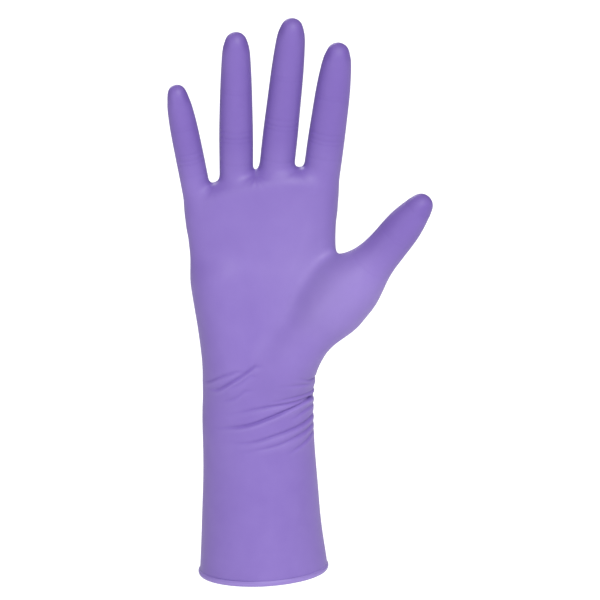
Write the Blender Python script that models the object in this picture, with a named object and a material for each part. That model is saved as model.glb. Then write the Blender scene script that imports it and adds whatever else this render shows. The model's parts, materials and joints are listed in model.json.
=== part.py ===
"""Long-cuff examination glove for a right hand: one thin dipped film with a rolled hem.

The film is divided along the lines where it folds in use, so that each zone is a thin open shell
of its own: cuff, wrist folds, palm, thumb base, and a stall of two or three zones for each digit.
+Z runs from the hem to the fingertips, +X is the thumb's side, and the palm looks along -Y.
The origin is the middle of the hand opening, in the plane of the hem.
"""

import math

import bmesh
import bpy
import numpy as np
from mathutils import Vector

MM = 0.001

# Film
FILM = 0.15 * MM  # wall of the dipped film
GAP = 0.3 * MM  # clearance between neighbouring zones
BEAD_HEIGHT = 3.0 * MM  # rolled hem
BEAD_THICKNESS = 1.4 * MM

# Cuff, from the hem up to the wrist line
CUFF_LENGTH = 100.7 * MM
HEM_WIDTH = 70.5 * MM
HEM_DEPTH = 59 * MM
WRIST_WIDTH = 59.8 * MM
WRIST_DEPTH = 42 * MM
WRIST_X = 2.1 * MM  # the wrist's middle
WRIST_FOLDS = 30 * MM  # height of the sleeve that crumples when the wrist bends

# Palm, from the wrist line up to the web line, the height of the highest web
PALM_LENGTH = 122 * MM
PALM_DEPTH = 27 * MM
PALM_X = 9.3 * MM  # middle of the row of fingers
PALM_TAPER = 2.6 * MM  # that each side of the palm is narrower than the row of fingers
HEEL_RADIUS = 13.5 * MM  # pad on the little finger's side, as a capsule between two points
HEEL_PAD = ((-9 * MM, -6 * MM, 13 * MM), (-13.6 * MM, -4 * MM, 62 * MM))
THENAR_RADIUS = 13 * MM  # ball of the thumb
THENAR_PAD = ((16 * MM, -9 * MM, 14 * MM), (50 * MM, -15 * MM, 57 * MM))

# Fingers: name, width, depth and tip width, length above its web, lean towards the thumb in
# degrees, drop of its web below the web line, and heights of its two upper folds above its web
FINGERS = (
    ("little", 15.3 * MM, 14.5 * MM, 12.4 * MM, 54.5 * MM, -7.9, 6 * MM, (14.5 * MM, 31 * MM)),
    ("ring", 18.0 * MM, 16.5 * MM, 14.6 * MM, 75.6 * MM, 2.8, 1 * MM, (20 * MM, 44 * MM)),
    ("middle", 18.6 * MM, 17.5 * MM, 14.8 * MM, 81.5 * MM, 8.9, 0 * MM, (25 * MM, 49.5 * MM)),
    ("index", 19.6 * MM, 17.5 * MM, 15.2 * MM, 67.4 * MM, 10.2, 0 * MM, (16 * MM, 38 * MM)),
)
WEB_GAPS = (5.6 * MM, 3.2 * MM, 5.4 * MM)  # between finger roots, little to index
END_DROP = 6 * MM  # that the row's two ends lie below the webs beside them
FINGER_CURL = 3.0  # degrees that the fingers lean towards the palm's side
ROOT_FOLD = 5.5 * MM  # height of a finger's root fold above its web

# Thumb, placed from the wrist line
THUMB_ROOT = (62 * MM, -17 * MM, 66 * MM)
THUMB_TIP = (96.8 * MM, -27 * MM, 108 * MM)
THUMB_PAD = (-0.55, -0.75, 0.1)  # the way that the thumb's pad looks
THUMB_WIDTH = 21.5 * MM
THUMB_TIP_WIDTH = 15.6 * MM
THUMB_FOLDS = (6 * MM, 28 * MM)  # heights of its root fold and tip fold above its root

THENAR_LINE = ((28 * MM, 9 * MM), (48.5 * MM, 74 * MM))  # x and height of the fold beside its ball

# Blends between the digits, the palm and its pads
WEB_BLEND = 4 * MM
CAP_BLEND = 12 * MM
PAD_BLEND = 12 * MM
THUMB_BLEND = 20 * MM

# Points of the net along a finger's front and over a web, and its row spacing
FRONT = 4
OVER = 4
ROW = 5.5 * MM
CORNER_INSET = 0.07  # of the row's width, from its ends to the first and last column
COLUMN_MARGIN = 1.02  # that the columns' oval is wider than the palm
SADDLE_RISE = 8 * MM  # that a web's line starts above a straight line, before it settles
THUMB_BLEND_HEIGHT = 9 * MM  # above the thumb's root fold, where its section is its own
THUMB_HOLE_DROP = 10 * MM  # that the thumb's hole in the palm's net starts below its root
NOSE_TILTS = (30, 55, 75)  # degrees above square, of a nose's rings

COLOUR = (0.235, 0.135, 0.62, 1.0)


def unit(vector):
    return np.asarray(vector) / np.linalg.norm(vector)


def smooth_min(a, b, reach):
    """The lower of two fields, rounded off over reach where they are close."""
    near = np.maximum(reach - np.abs(a - b), 0) / reach
    return np.minimum(a, b) - near * near * reach / 4


def through(x, xs, ys):
    """A smooth line through stations: cubic pieces with a shared slope at each station."""
    xs, ys = np.asarray(xs), np.asarray(ys)
    slopes = np.gradient(ys, xs)
    i = np.clip(np.searchsorted(xs, x) - 1, 0, len(xs) - 2)
    step = xs[i + 1] - xs[i]
    t = np.clip((x - xs[i]) / step, 0, 1)
    ends = ys[i] * (1 + 2 * t) * (1 - t) ** 2 + ys[i + 1] * (3 - 2 * t) * t**2
    return ends + step * (slopes[i] * t * (1 - t) ** 2 - slopes[i + 1] * (1 - t) * t**2)


def oval(u, v, half_u, half_v, power=2.0, w=0.0, half_w=1.0):
    """Distance from the oval |u/half_u|^p + |v/half_v|^p + |w|^p = 1: value over slope."""
    tiny = 1e-3
    u, v = np.abs(u) / half_u + tiny, np.abs(v) / half_v + tiny
    size = (u**power + v**power + w**power) ** (1 / power)
    rise = np.sqrt(
        (u ** (power - 1) / half_u) ** 2
        + (v ** (power - 1) / half_v) ** 2
        + (w ** (power - 1) / half_w) ** 2
    )
    return (size - 1) / (rise * size ** (1 - power))


def capsule(points, ends, radius):
    """Distance from a rod with round ends; its ends are placed from the wrist line."""
    start, end = (np.array(p) + (0, 0, CUFF_LENGTH) for p in ends)
    run = end - start
    share = np.clip((points - start) @ run / (run @ run), 0, 1)
    return np.linalg.norm(points - start - share[:, None] * run, axis=1) - radius


class Digit:
    """A finger or the thumb: a straight axis, and an oval section that tapers to a round nose."""

    BURIED = 22 * MM  # how far the digit carries on inside the palm
    NOSE = 0.62  # length of the nose, as a share of the tip's width

    def __init__(self, name, root, axis, pad, length, width, depth, tip_width, folds):
        self.name, self.root, self.axis = name, np.array(root), unit(axis)
        self.pad = unit(pad - (np.asarray(pad) @ self.axis) * self.axis)
        self.hinge = np.cross(self.axis, self.pad)
        self.side = unit(np.array((1, 0, 0)) - self.axis[0] * self.axis)
        self.back = np.cross(self.axis, self.side)
        self.length, self.folds = length, folds
        self.half_width, self.half_depth, self.half_tip = width / 2, depth / 2, tip_width / 2
        self.nose = length - self.NOSE * tip_width

    def at(self, height):
        """Point of the axis at a height above the root."""
        return self.root + np.multiply.outer(height, self.axis)

    def field(self, points):
        """Distance from the digit's surface, negative inside it."""
        local = points - self.root
        height = local @ self.axis
        stations = (0, 0.35 * self.length, 0.65 * self.length, self.nose)
        taper = through(height, stations, (1, 0.93, 0.62, 0))
        half_u = self.half_tip + (self.half_width - self.half_tip) * taper
        half_v = self.half_tip * 0.92 + (self.half_depth - self.half_tip * 0.92) * taper
        nose_length = self.length - self.nose
        over = np.maximum(height - self.nose, 0) / nose_length
        under = np.maximum(-height - self.BURIED, 0) / nose_length
        across, ahead = local @ self.hinge, local @ self.pad
        return oval(across, ahead, half_u, half_v, 2.0, over + under, nose_length)


def row_of_fingers():
    """The four fingers side by side, and the x of the row's two ends and of the webs between."""
    x = PALM_X - (sum(finger[1] for finger in FINGERS) + sum(WEB_GAPS)) / 2
    digits, webs = [], [x]
    for (name, width, depth, tip, length, lean, drop, folds), gap in zip(FINGERS, (*WEB_GAPS, 0)):
        root = (x + width / 2, 0, CUFF_LENGTH + PALM_LENGTH - drop)
        lean, curl = math.radians(lean), math.radians(FINGER_CURL)
        axis = (math.sin(lean), -math.sin(curl), math.cos(lean))
        folds = (ROOT_FOLD, *folds)
        digits.append(Digit(name, root, axis, (0, -1, 0), length, width, depth, tip, folds))
        x += width + gap
        webs.append(x - gap / 2)
    return digits, webs


def thumb():
    """The thumb, set forward of the palm, with its pad turned towards the palm."""
    root = np.array(THUMB_ROOT) + (0, 0, CUFF_LENGTH)
    run = np.subtract(THUMB_TIP, THUMB_ROOT)
    length = np.linalg.norm(run)
    size = (THUMB_WIDTH, 0.95 * THUMB_WIDTH, THUMB_TIP_WIDTH)
    return Digit("thumb", root, run, THUMB_PAD, length, *size, THUMB_FOLDS)


DIGITS, WEBS = row_of_fingers()
THUMB = thumb()
TOP = CUFF_LENGTH + PALM_LENGTH
PALM_HALF = (WEBS[-1] - WEBS[0]) / 2 - PALM_TAPER


WEB_DROPS = tuple(max(a[6], b[6]) for a, b in zip(FINGERS, FINGERS[1:]))


def web_line(x):
    """Height of the palm's upper edge, which dips from web to web."""
    drops = (WEB_DROPS[0] + END_DROP, *WEB_DROPS, WEB_DROPS[-1] + END_DROP)
    return TOP - through(x, WEBS, drops)


def trunk_stations():
    """Rows of the cuff and palm: height, middle, half width, half depth and squareness."""
    wrist, slim, flare = CUFF_LENGTH, WRIST_WIDTH / 2, (HEM_WIDTH - WRIST_WIDTH) / 2
    half_wrist, half_palm = WRIST_DEPTH / 2, PALM_DEPTH / 2

    def palm(share, drift, half_width, half_depth, power):
        middle = WRIST_X + drift * (PALM_X - WRIST_X)
        return wrist + share * PALM_LENGTH, middle, half_width, half_depth, power

    return np.transpose(
        (
            (0, 0, HEM_WIDTH / 2, HEM_DEPTH / 2, 2.0),
            (0.35 * wrist, 0.2 * WRIST_X, slim + 0.45 * flare, 0.46 * HEM_DEPTH, 2.0),
            (0.7 * wrist, 0.4 * WRIST_X, slim + 0.1 * flare, 1.12 * half_wrist, 2.0),
            (wrist, WRIST_X, slim, half_wrist, 2.1),
            palm(0.14, 0.2, 0.99 * slim, 0.9 * half_wrist, 2.1),
            palm(0.3, 0.55, 0.8 * PALM_HALF, 1.18 * half_palm, 2.2),
            palm(0.5, 0.76, 0.91 * PALM_HALF, 1.06 * half_palm, 2.4),
            palm(0.75, 0.9, 0.98 * PALM_HALF, half_palm, 2.6),
            palm(1.0, 1.0, PALM_HALF, half_palm, 2.6),
        )
    )


STATIONS = trunk_stations()


def hand_body(points):
    """Distance from cuff and palm without the digits: a loft, capped at the web line, and two pads."""
    x, y, z = points.T
    middle, half_width, half_depth, power = (through(z, STATIONS[0], row) for row in STATIONS[1:])
    loft = oval(x - middle, y, half_width, half_depth, power)
    capped = -smooth_min(-loft, web_line(x) - z, CAP_BLEND)
    heel = capsule(points, HEEL_PAD, HEEL_RADIUS)
    ball = capsule(points, THENAR_PAD, THENAR_RADIUS)
    return smooth_min(smooth_min(capped, heel, PAD_BLEND), ball, PAD_BLEND)


def film(points):
    """Distance from the glove's outer surface."""
    field = hand_body(points)
    for digit in DIGITS:
        field = smooth_min(field, digit.field(points), WEB_BLEND)
    return smooth_min(field, THUMB.field(points), THUMB_BLEND)


def out_to(field, starts, ways, far):
    """Points where rays from inside leave the surface, found by halving the interval."""
    near, far = np.zeros(len(starts)), np.full(len(starts), far)
    for _ in range(30):
        middle = (near + far) / 2
        inside = field(starts + middle[:, None] * ways) < 0
        near, far = np.where(inside, middle, near), np.where(inside, far, middle)
    return starts + near[:, None] * ways


def slope(points):
    """Gradient of the film's field, by central differences."""
    reach = 0.05 * MM
    steps = reach * np.eye(3)
    return np.stack([film(points + s) - film(points - s) for s in steps], axis=1) / (2 * reach)


def onto_film(points):
    """Moves points along the field's slope until they lie on the film."""
    for _ in range(8):
        way = slope(points)
        points = points - (film(points) / (way**2).sum(axis=1))[:, None] * way
    return points


class Net:
    """Points and faces of the film; a row is an array of point numbers that closes on itself."""

    def __init__(self):
        self.points, self.faces, self.limbs = np.zeros((0, 3)), [], []

    def add(self, points):
        """Adds points and returns their numbers."""
        first = len(self.points)
        self.points = np.vstack((self.points, points))
        return np.arange(first, len(self.points))

    def band(self, low, high, limb, skip=()):
        """Four-sided faces between two rows, except in the skipped columns."""
        for column in range(len(low)):
            if column not in skip:
                after = (column + 1) % len(low)
                self.faces.append((low[column], low[after], high[after], high[column]))
                self.limbs.append(limb)

    def fan(self, row, tip, limb):
        """Three-sided faces from a row to the tip."""
        for column in range(len(row)):
            self.faces.append((row[column], row[(column + 1) % len(row)], tip))
            self.limbs.append(limb)

    def edges(self):
        pairs = {tuple(sorted(p)) for f in self.faces for p in zip(f, (*f[1:], f[0]))}
        return np.array(sorted(pairs))


TRUNK = 0  # limb number of the cuff and palm; fingers are 1 to 4
THUMB_LIMB = 5
FINGER_COLUMNS = 4 * FRONT
COLUMNS = 2 * FINGER_COLUMNS + 2 * OVER
THUMB_ACROSS = 6
THUMB_UP = 4


def column_ways():
    """Directions of the columns around a section, from the little finger's front corner."""
    inset = CORNER_INSET * (WEBS[-1] - WEBS[0])
    valleys = (WEBS[0] + inset, *WEBS[1:-1], WEBS[-1] - inset)
    front = np.interp(np.arange(FINGER_COLUMNS + 1) / FRONT, range(5), valleys)
    across = (front - PALM_X) / (PALM_HALF * COLUMN_MARGIN)
    angles = -np.arccos(across)
    thumb_side = np.linspace(angles[-1], -angles[-1], OVER + 1)[1:-1]
    little_side = np.linspace(-angles[0], 2 * math.pi + angles[0], OVER + 1)[1:-1]
    around = np.concatenate((angles, thumb_side, -angles[::-1], little_side))
    return np.cos(around), np.sin(around)


def trunk_rows(net):
    """Rows of the cuff and palm, from the hem up to the web line."""
    cos, sin = column_ways()
    low = BEAD_HEIGHT + GAP
    count = round((TOP - low) / ROW)
    rows = []
    top_x = PALM_X + PALM_HALF * cos
    sag = np.maximum(TOP - web_line(top_x) + END_DROP, 0)
    for share in np.linspace(0, 1, count + 1):
        z = low + share * (TOP - low) - sag * max(0, 2.2 * share - 1.2) ** 1.5
        middle, half_width, half_depth = (through(z, STATIONS[0], row) for row in STATIONS[1:4])
        starts = np.transpose((middle, 0 * z, z))
        ways = np.transpose((half_width * cos, half_depth * sin, 0 * z))
        ways /= np.linalg.norm(ways, axis=1)[:, None]
        rows.append(net.add(out_to(hand_body, starts, ways, 1.5 * HEM_WIDTH)))
    return rows


def digit_rows(net, digit, first, start_angle, lowest, blends):
    """Rows of a digit from its root loop to its tip: blended rows, straight rows and the nose."""
    angles = start_angle + np.arange(len(first)) * 2 * math.pi / len(first)
    radial = np.outer(np.cos(angles), digit.side) + np.outer(np.sin(angles), digit.back)

    def ring(height, tilt=0.0):
        starts = np.tile(digit.at(height), (len(first), 1))
        ways = math.cos(tilt) * radial + math.sin(tilt) * digit.axis
        return out_to(film, starts, ways, 1.8 * digit.half_width)

    rows = [first]
    base, above = net.points[first], ring(lowest)
    for share in np.arange(1, blends + 1) / (blends + 1):
        rows.append(net.add(onto_film(base + share * (above - base))))
    count = round((digit.nose - lowest) / ROW)
    for height in np.linspace(lowest, digit.nose, count + 1):
        rows.append(net.add(ring(height)))
    for tilt in np.radians(NOSE_TILTS):
        rows.append(net.add(ring(digit.nose, tilt)))
    tip = net.add(ring(digit.nose, math.pi / 2)[:1])[0]
    return rows, tip


def make_net():
    """The whole film as one net of four-sided faces, open at the hem."""
    net = Net()
    trunk = trunk_rows(net)
    top = trunk[-1]
    hole_columns = range(FINGER_COLUMNS - THUMB_ACROSS // 2, FINGER_COLUMNS + THUMB_ACROSS // 2)
    heights = net.points[[row[FINGER_COLUMNS] for row in trunk], 2]
    low = int(np.abs(heights - (THUMB.root[2] - THUMB_HOLE_DROP)).argmin())
    high = low + THUMB_UP
    for i in range(len(trunk) - 1):
        net.band(trunk[i], trunk[i + 1], TRUNK, hole_columns if low <= i < high else ())

    back = 2 * FINGER_COLUMNS + OVER
    lines = [top[np.concatenate(([0], np.arange(COLUMNS - 1, back - 1, -1)))]]
    for i, x in enumerate(WEBS[1:-1], 1):
        front, rear = top[i * FRONT], top[back - i * FRONT]
        share = np.arange(1, OVER)[:, None] / OVER
        saddle = net.points[front] + share * (net.points[rear] - net.points[front])
        saddle[:, 2] += SADDLE_RISE * np.sin(math.pi * share[:, 0])
        lines.append(np.concatenate(([front], net.add(onto_film(saddle)), [rear])))
    lines.append(top[FINGER_COLUMNS : FINGER_COLUMNS + OVER + 1])

    for i, digit in enumerate(DIGITS):
        front = top[i * FRONT : (i + 1) * FRONT]
        rear = top[back - (i + 1) * FRONT : back - i * FRONT]
        loop = np.concatenate((front, lines[i + 1][:-1], rear, lines[i][:0:-1]))
        start = -math.pi / 2 - math.pi / 4
        rows, tip = digit_rows(net, digit, loop, start, ROOT_FOLD - 1.2 * MM, 1)
        for a, b in zip(rows, rows[1:]):
            net.band(a, b, i + 1)
        net.fan(rows[-1], tip, i + 1)

    first, last = hole_columns[0], hole_columns[-1] + 1
    loop = np.concatenate(
        (
            trunk[low][first:last],
            [trunk[i][last] for i in range(low, high)],
            trunk[high][last:first:-1],
            [trunk[i][first] for i in range(high, low, -1)],
        )
    )
    start = -math.pi * THUMB_ACROSS / len(loop)
    rows, tip = digit_rows(net, THUMB, loop, start, THUMB_FOLDS[0] + THUMB_BLEND_HEIGHT, 3)
    for a, b in zip(rows, rows[1:]):
        net.band(a, b, THUMB_LIMB)
    net.fan(rows[-1], tip, THUMB_LIMB)
    settle(net, fixed=np.concatenate((trunk[0], [tip])))
    return net


def settle(net, fixed):
    """Evens out the net along the film: each point moves to the mean of its neighbours, and back on."""
    a, b = net.edges().T
    count = np.maximum(np.bincount(np.concatenate((a, b)), minlength=len(net.points)), 1)[:, None]
    free = np.ones(len(net.points), bool)
    free[fixed] = False
    net.points[free] = onto_film(net.points)[free]
    for _ in range(8):
        total = np.zeros_like(net.points)
        np.add.at(total, a, net.points[b])
        np.add.at(total, b, net.points[a])
        moved = net.points + 0.5 * (total / count - net.points)
        net.points[free] = onto_film(moved)[free]


class Fold:
    """A fold line: the plane that cuts the film there, the limbs that it cuts, and its hinge."""

    def __init__(self, point, normal, limbs, hinge_point=None, hinge_axis=None, lowest=0.0):
        self.point, self.normal = np.array(point), unit(normal)
        self.limbs, self.lowest = limbs, lowest
        self.hinge_point, self.hinge_axis = hinge_point, hinge_axis

    def beyond(self, point):
        """Distance past the cut plane."""
        return (np.array(point) - self.point) @ self.normal

    def meets(self, limb, point):
        """Whether the fold parts this limb at this point."""
        return limb in self.limbs and point[2] > self.lowest


def digit_fold(digit, limb, height):
    """A fold square across a digit. It hinges on the pad's side, so it opens like a lid."""
    point = digit.at(height)
    crease = out_to(film, point[None], digit.pad[None], 2 * digit.half_width)[0]
    return Fold(point, digit.axis, (limb,), crease, digit.hinge)


def thumb_base_fold():
    """The fold beside the ball of the thumb, hinged along its most forward line."""
    low, high = (np.array((x, 0, CUFF_LENGTH + height)) for x, height in THENAR_LINE)
    starts = low + np.linspace(0, 1, 25)[:, None] * (high - low)
    forward = out_to(film, starts, np.tile((0.0, -1.0, 0.0), (25, 1)), 60 * MM)[:, 1].min()
    line = unit(high - low)
    normal = np.cross((0, 1, 0), line)
    sleeve_top = CUFF_LENGTH + WRIST_FOLDS / 2
    return Fold(low, normal, (TRUNK, THUMB_LIMB), low + (0, forward, 0), -line, sleeve_top)


LIMBS = {i + 1: digit for i, digit in enumerate((*DIGITS, THUMB))}
FINGER_ZONES = ("proximal", "middle", "tip")
THUMB_ZONES = ("proximal", "tip")


def make_folds():
    """Every fold line, by the name of the zone beyond it."""
    half = WRIST_FOLDS / 2
    up = (0, 0, 1)
    folds = {
        "wrist_folds": Fold((0, 0, CUFF_LENGTH - half), up, (TRUNK,)),
        "palm": Fold((0, 0, CUFF_LENGTH + half), up, (TRUNK,), (WRIST_X, 0, CUFF_LENGTH), (1, 0, 0)),
        "thumb_base": thumb_base_fold(),
    }
    for limb, digit in LIMBS.items():
        zones = THUMB_ZONES if digit is THUMB else FINGER_ZONES
        for zone, height in zip(zones, digit.folds):
            folds[f"{digit.name}_{zone}"] = digit_fold(digit, limb, height)
    return folds


def cut_film(net, folds):
    """The net as a mesh, cut on both sides of each fold, without the narrow strips between."""
    mesh = bmesh.new()
    points = [mesh.verts.new(point) for point in net.points]
    limb_of = mesh.faces.layers.int.new("limb")
    for corners, limb in zip(net.faces, net.limbs):
        mesh.faces.new([points[i] for i in corners])[limb_of] = limb
    bmesh.ops.delete(mesh, geom=[v for v in mesh.verts if not v.link_faces], context="VERTS")
    for fold in folds.values():
        for side in (-GAP / 2, GAP / 2):
            faces = [f for f in mesh.faces if fold.meets(f[limb_of], f.calc_center_median())]
            parts = {part for f in faces for part in (f, *f.edges, *f.verts)}
            point = fold.point + side * fold.normal
            cut = {"plane_co": point, "plane_no": fold.normal, "dist": 1e-7}
            bmesh.ops.bisect_plane(mesh, geom=list(parts), **cut)
        strip = [
            f
            for f in mesh.faces
            if fold.meets(f[limb_of], f.calc_center_median())
            and abs(fold.beyond(f.calc_center_median())) < GAP / 2
        ]
        bmesh.ops.delete(mesh, geom=strip, context="FACES")
    return mesh, limb_of


def zone_of(limb, point, folds):
    """Name of the zone that a point of the film belongs to."""
    if limb == TRUNK or limb == THUMB_LIMB and folds["thumb_proximal"].beyond(point) < 0:
        if folds["wrist_folds"].beyond(point) < 0:
            return "cuff"
        if folds["palm"].beyond(point) < 0:
            return "wrist_folds"
        return "thumb_base" if folds["thumb_base"].beyond(point) > 0 else "palm"
    zone = "palm"
    for name, fold in folds.items():
        if fold.limbs == (limb,) and fold.beyond(point) > 0:
            zone = name
    return zone


PARENTS = {"thumb_base": "palm", "palm": "cuff", "thumb_proximal": "thumb_base"}


def parent_of(name):
    """The zone that a zone hinges on."""
    if name in PARENTS:
        return PARENTS[name]
    digit, zone = name.split("_")
    before = {"proximal": "palm", "middle": f"{digit}_proximal"}
    before["tip"] = "thumb_proximal" if digit == "thumb" else f"{digit}_middle"
    return before[zone]


def film_material(name):
    """Satin violet film."""
    material = bpy.data.materials.new(name)
    material.use_nodes = True
    shader = material.node_tree.nodes["Principled BSDF"]
    shader.inputs["Base Color"].default_value = COLOUR
    shader.inputs["Roughness"].default_value = 0.45
    shader.inputs["Metallic"].default_value = 0.0
    return material


def add_object(name, mesh, origin):
    """An object of its own for a bmesh, with its origin at a point and its own material."""
    bmesh.ops.translate(mesh, vec=-np.array(origin), verts=mesh.verts)
    data = bpy.data.meshes.new(name)
    mesh.to_mesh(data)
    mesh.free()
    data.shade_smooth()
    data.materials.append(film_material(name))
    piece = bpy.data.objects.new(name, data)
    bpy.context.scene.collection.objects.link(piece)
    piece.location = origin
    return piece


def make_zones():
    """Each zone of the film as an open shell with the film's wall, hung on its parent zone."""
    folds = make_folds()
    whole, limb_of = cut_film(make_net(), folds)
    names = {f.index: zone_of(f[limb_of], f.calc_center_median(), folds) for f in whole.faces}
    pieces = {}
    for name in ("cuff", *folds):
        zone = whole.copy()
        others = [f for f in zone.faces if names[f.index] != name]
        bmesh.ops.delete(zone, geom=others, context="FACES")
        bmesh.ops.recalc_face_normals(zone, faces=zone.faces)
        fold = folds.get(name)
        origin = (0, 0, 0) if fold is None or fold.hinge_point is None else fold.hinge_point
        pieces[name] = add_object(name, zone, origin)
        wall = pieces[name].modifiers.new("wall", "SOLIDIFY")
        wall.thickness, wall.offset, wall.use_even_offset = FILM, -1, True
    whole.free()
    for name, fold in folds.items():
        if fold.hinge_point is not None:
            parent = parent_of(name)
            pieces[name].parent = pieces[parent]
            above = folds.get(parent)
            if above is not None:
                pieces[name].location -= Vector(above.hinge_point)
    return folds


def make_bead():
    """The rolled hem: an oval section carried round the hem."""
    cos, sin = column_ways()
    z = BEAD_HEIGHT / 2
    half_width, half_depth = (through(z, STATIONS[0], row) for row in STATIONS[2:4])
    section = np.radians(np.arange(0, 360, 45))
    out = 1 + BEAD_THICKNESS / 2 * np.cos(section) / half_width
    rings = [
        np.transpose((half_width * cos * s, half_depth * sin * s, 0 * cos + z + rise))
        for s, rise in zip(out, z * np.sin(section))
    ]
    mesh = bmesh.new()
    rows = [[mesh.verts.new(point) for point in ring] for ring in rings]
    for low, high in zip(rows, rows[1:] + rows[:1]):
        for i in range(len(low)):
            after = (i + 1) % len(low)
            mesh.faces.new((low[i], low[after], high[after], high[i]))
    bmesh.ops.recalc_face_normals(mesh, faces=mesh.faces)
    add_object("cuff_bead", mesh, (0, 0, 0))


def main():
    for old in list(bpy.data.objects):
        bpy.data.objects.remove(old)
    make_bead()
    make_zones()


main()
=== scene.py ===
"""Long-cuff examination glove: the fine skin, wrinkles and rolled hem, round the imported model.

+Z runs from the hem to the fingertips, +X is the thumb's side, and the palm looks along -Y.
The film is one smooth field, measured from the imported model. A net of four-sided faces covers it,
each face becomes a grid of two parameters on the film, and relief moves the grid in or out.
"""

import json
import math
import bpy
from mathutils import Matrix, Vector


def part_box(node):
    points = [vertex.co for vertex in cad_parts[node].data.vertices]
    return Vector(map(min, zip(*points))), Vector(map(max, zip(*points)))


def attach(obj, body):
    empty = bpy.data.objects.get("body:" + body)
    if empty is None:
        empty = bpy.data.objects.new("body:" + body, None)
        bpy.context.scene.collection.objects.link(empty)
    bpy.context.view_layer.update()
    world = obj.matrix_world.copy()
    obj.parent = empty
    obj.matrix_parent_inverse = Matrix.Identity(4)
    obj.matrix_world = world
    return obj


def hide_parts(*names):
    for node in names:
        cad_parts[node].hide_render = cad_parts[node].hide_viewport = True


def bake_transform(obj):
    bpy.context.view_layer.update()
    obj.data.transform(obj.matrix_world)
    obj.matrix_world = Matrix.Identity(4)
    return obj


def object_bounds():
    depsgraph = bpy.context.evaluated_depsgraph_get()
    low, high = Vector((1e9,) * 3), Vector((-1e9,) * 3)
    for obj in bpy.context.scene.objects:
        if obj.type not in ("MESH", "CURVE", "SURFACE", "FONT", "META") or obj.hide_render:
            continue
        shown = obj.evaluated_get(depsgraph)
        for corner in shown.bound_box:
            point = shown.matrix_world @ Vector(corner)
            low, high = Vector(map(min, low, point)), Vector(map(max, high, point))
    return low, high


bl_info = {
    "name": "Long-cuff glove",
    "version": (1, 0, 0),
    "blender": (4, 5, 0),
    "location": "3D View > Sidebar > Glove",
    "description": "Builds the film, the wrinkles and the rolled hem of a long-cuff glove",
    "category": "Add Mesh",
}

import bpy
import numpy as np
from mathutils import Matrix

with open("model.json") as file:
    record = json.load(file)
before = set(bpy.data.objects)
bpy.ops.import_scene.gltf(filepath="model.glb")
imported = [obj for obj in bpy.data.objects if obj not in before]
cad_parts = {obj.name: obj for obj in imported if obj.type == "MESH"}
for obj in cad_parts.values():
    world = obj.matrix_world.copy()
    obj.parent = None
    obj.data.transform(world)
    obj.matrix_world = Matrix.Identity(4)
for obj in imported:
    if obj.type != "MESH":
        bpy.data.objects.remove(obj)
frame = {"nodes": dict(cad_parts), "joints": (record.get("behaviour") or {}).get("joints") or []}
CAD_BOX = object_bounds()

MM = 0.001
WALL = 0.15 * MM  # the dipped film
WELD = 1e-4 * MM  # points closer than this become one
FINGERS = ("little", "ring", "middle", "index")
FINGER_ZONES = ("proximal", "middle", "tip")
THUMB_ZONES = ("proximal", "tip")
TRUNK = 0  # limb number of the cuff and palm; fingers are 1 to 4 and the thumb is 5
THUMB_LIMB = 5

# Heights above a digit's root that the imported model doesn't hold by itself
FINGER_ROOT_FOLD = 5.5 * MM
THUMB_ROOT_FOLD = 6 * MM

# Reach of the blends between digits, palm and pads
WEB_BLEND = 4 * MM
CAP_BLEND = 12 * MM
PAD_BLEND = 12 * MM
THUMB_BLEND = 20 * MM

# Pads of the palm as capsules: two ends, placed from the wrist line, and a radius
HEEL_PAD = ((-9 * MM, -6 * MM, 13 * MM), (-13.6 * MM, -4 * MM, 62 * MM))
HEEL_RADIUS = 13.5 * MM
THENAR_PAD = ((16 * MM, -9 * MM, 14 * MM), (50 * MM, -15 * MM, 57 * MM))
THENAR_RADIUS = 13 * MM

# Net: faces across a finger's front, over a web, and round the thumb's opening; row spacing
FRONT = 4
OVER = 4
THUMB_ACROSS = 6
THUMB_UP = 4
ROW = 5.5 * MM
FINGER_COLUMNS = 4 * FRONT
COLUMNS = 2 * FINGER_COLUMNS + 2 * OVER
NOSE_TILT = math.radians(30)  # tilt of a digit's last ring, where its cap begins
CORNER_INSET = 0.07  # of the row's width, from its ends to the first and last column
COLUMN_MARGIN = 1.02  # that the columns' oval is wider than the palm
END_DROP = 6 * MM  # that the row's two ends lie below the webs beside them
SADDLE_RISE = 8 * MM  # that a web's line starts above a straight line, before it settles
HOLE_DROP = 10 * MM  # that the thumb's hole in the palm's net starts below its root
THUMB_RISE = 9 * MM  # from the thumb's root fold to its first full ring
FINGER_FIRST_RING = FINGER_ROOT_FOLD - 1.2 * MM

# Heights from the wrist line between which the rows stand closer: start, full, full, end
CLOSE_ROWS = (-36 * MM, -28 * MM, 14 * MM, 24 * MM)
CLOSER = 0.6  # share by which they do

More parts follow.
